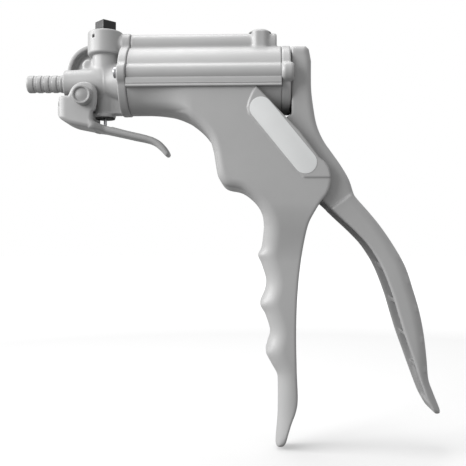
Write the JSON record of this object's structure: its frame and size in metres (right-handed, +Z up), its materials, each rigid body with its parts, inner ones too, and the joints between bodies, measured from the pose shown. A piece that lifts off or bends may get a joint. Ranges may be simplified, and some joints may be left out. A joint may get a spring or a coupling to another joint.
{
  "type": "hand vacuum pump",
  "caption": "Pistol-grip hand vacuum pump with a hose barb, plugged gauge port, release lever and squeeze handle.",
  "frame": {"origin": "middle of the fixed grip, on the pump's middle plane", "axes": "-X along the barrel towards the hose barb, +Y towards the selector knob's side, +Z up from the grip's toe to the barrel"},
  "size_m": [0.1907, 0.0403, 0.1996],
  "materials": {
    "grey_plastic": "smooth semi-matte moulded",
    "pin_plastic": "smooth moulded",
    "black_plastic": "satin moulded",
    "black_rubber": "matte",
    "steel": "satin plated",
    "label_film": "blank gloss film"
  },
  "bodies": {
    "body": {"pump_body": "grey_plastic", "head": "grey_plastic", "head_seal": "black_rubber", "head_screws": "steel", "hose_barb": "grey_plastic", "barb_seal": "black_rubber", "gauge_port_plug": "black_plastic", "inlet_valve": "black_rubber", "outlet_valve": "black_rubber", "release_chamber_cap": "black_plastic", "lever_pin": "pin_plastic", "vent_cap": "grey_plastic", "rear_cap": "grey_plastic", "rear_cap_screws": "steel", "rod_bush": "black_plastic", "handle_pin": "steel", "label": "label_film", "return_spring": "steel", "release_spring": "steel"},
    "handle": {"pump_handle": "grey_plastic"},
    "rod": {"piston": "black_plastic", "piston_seal": "black_rubber", "piston_screw": "steel", "piston_rod": "steel", "rod_pin": "steel"},
    "lever": {"release_lever": "grey_plastic"},
    "release_valve": {"release_stem": "steel", "release_valve_disc": "black_rubber"},
    "selector": {"selector_core": "grey_plastic", "selector_knob": "grey_plastic", "knob_screw": "steel"}
  },
  "joints": [
    {"name": "handle_squeeze", "type": "hinge", "parent": "body", "child": "handle", "pos_m": [0.015, 0, 0.0485], "axis": [0, 1, 0], "range_deg": [0, 28], "stiffness_Nm_per_rad": 1.8, "springref_deg": -14.32},
    {"name": "rod_stroke", "type": "slide", "parent": "body", "child": "rod", "axis": [1, 0, 0], "range_m": [0, 0.0245], "deforming": ["return_spring"]},
    {"name": "release_lever_press", "type": "hinge", "parent": "body", "child": "lever", "pos_m": [-0.0912, 0, 0.0879], "axis": [0, -1, 0], "range_deg": [0, 8], "stiffness_Nm_per_rad": 0.08, "springref_deg": -8.59},
    {"name": "release_valve_lift", "type": "slide", "parent": "body", "child": "release_valve", "axis": [0, 0, 1], "range_m": [0, 0.0016], "deforming": ["release_spring"]},
    {"name": "selector_turn", "type": "hinge", "parent": "body", "child": "selector", "pos_m": [-0.0908, 0, 0.1042], "axis": [0, 1, 0], "range_deg": [0, 90]}
  ],
  "couplings": [
    {"joint": "rod_stroke", "follows": "handle_squeeze", "m_per_rad": 0.0494},
    {"joint": "release_valve_lift", "follows": "release_lever_press", "m_per_rad": 0.0113}
  ]
}
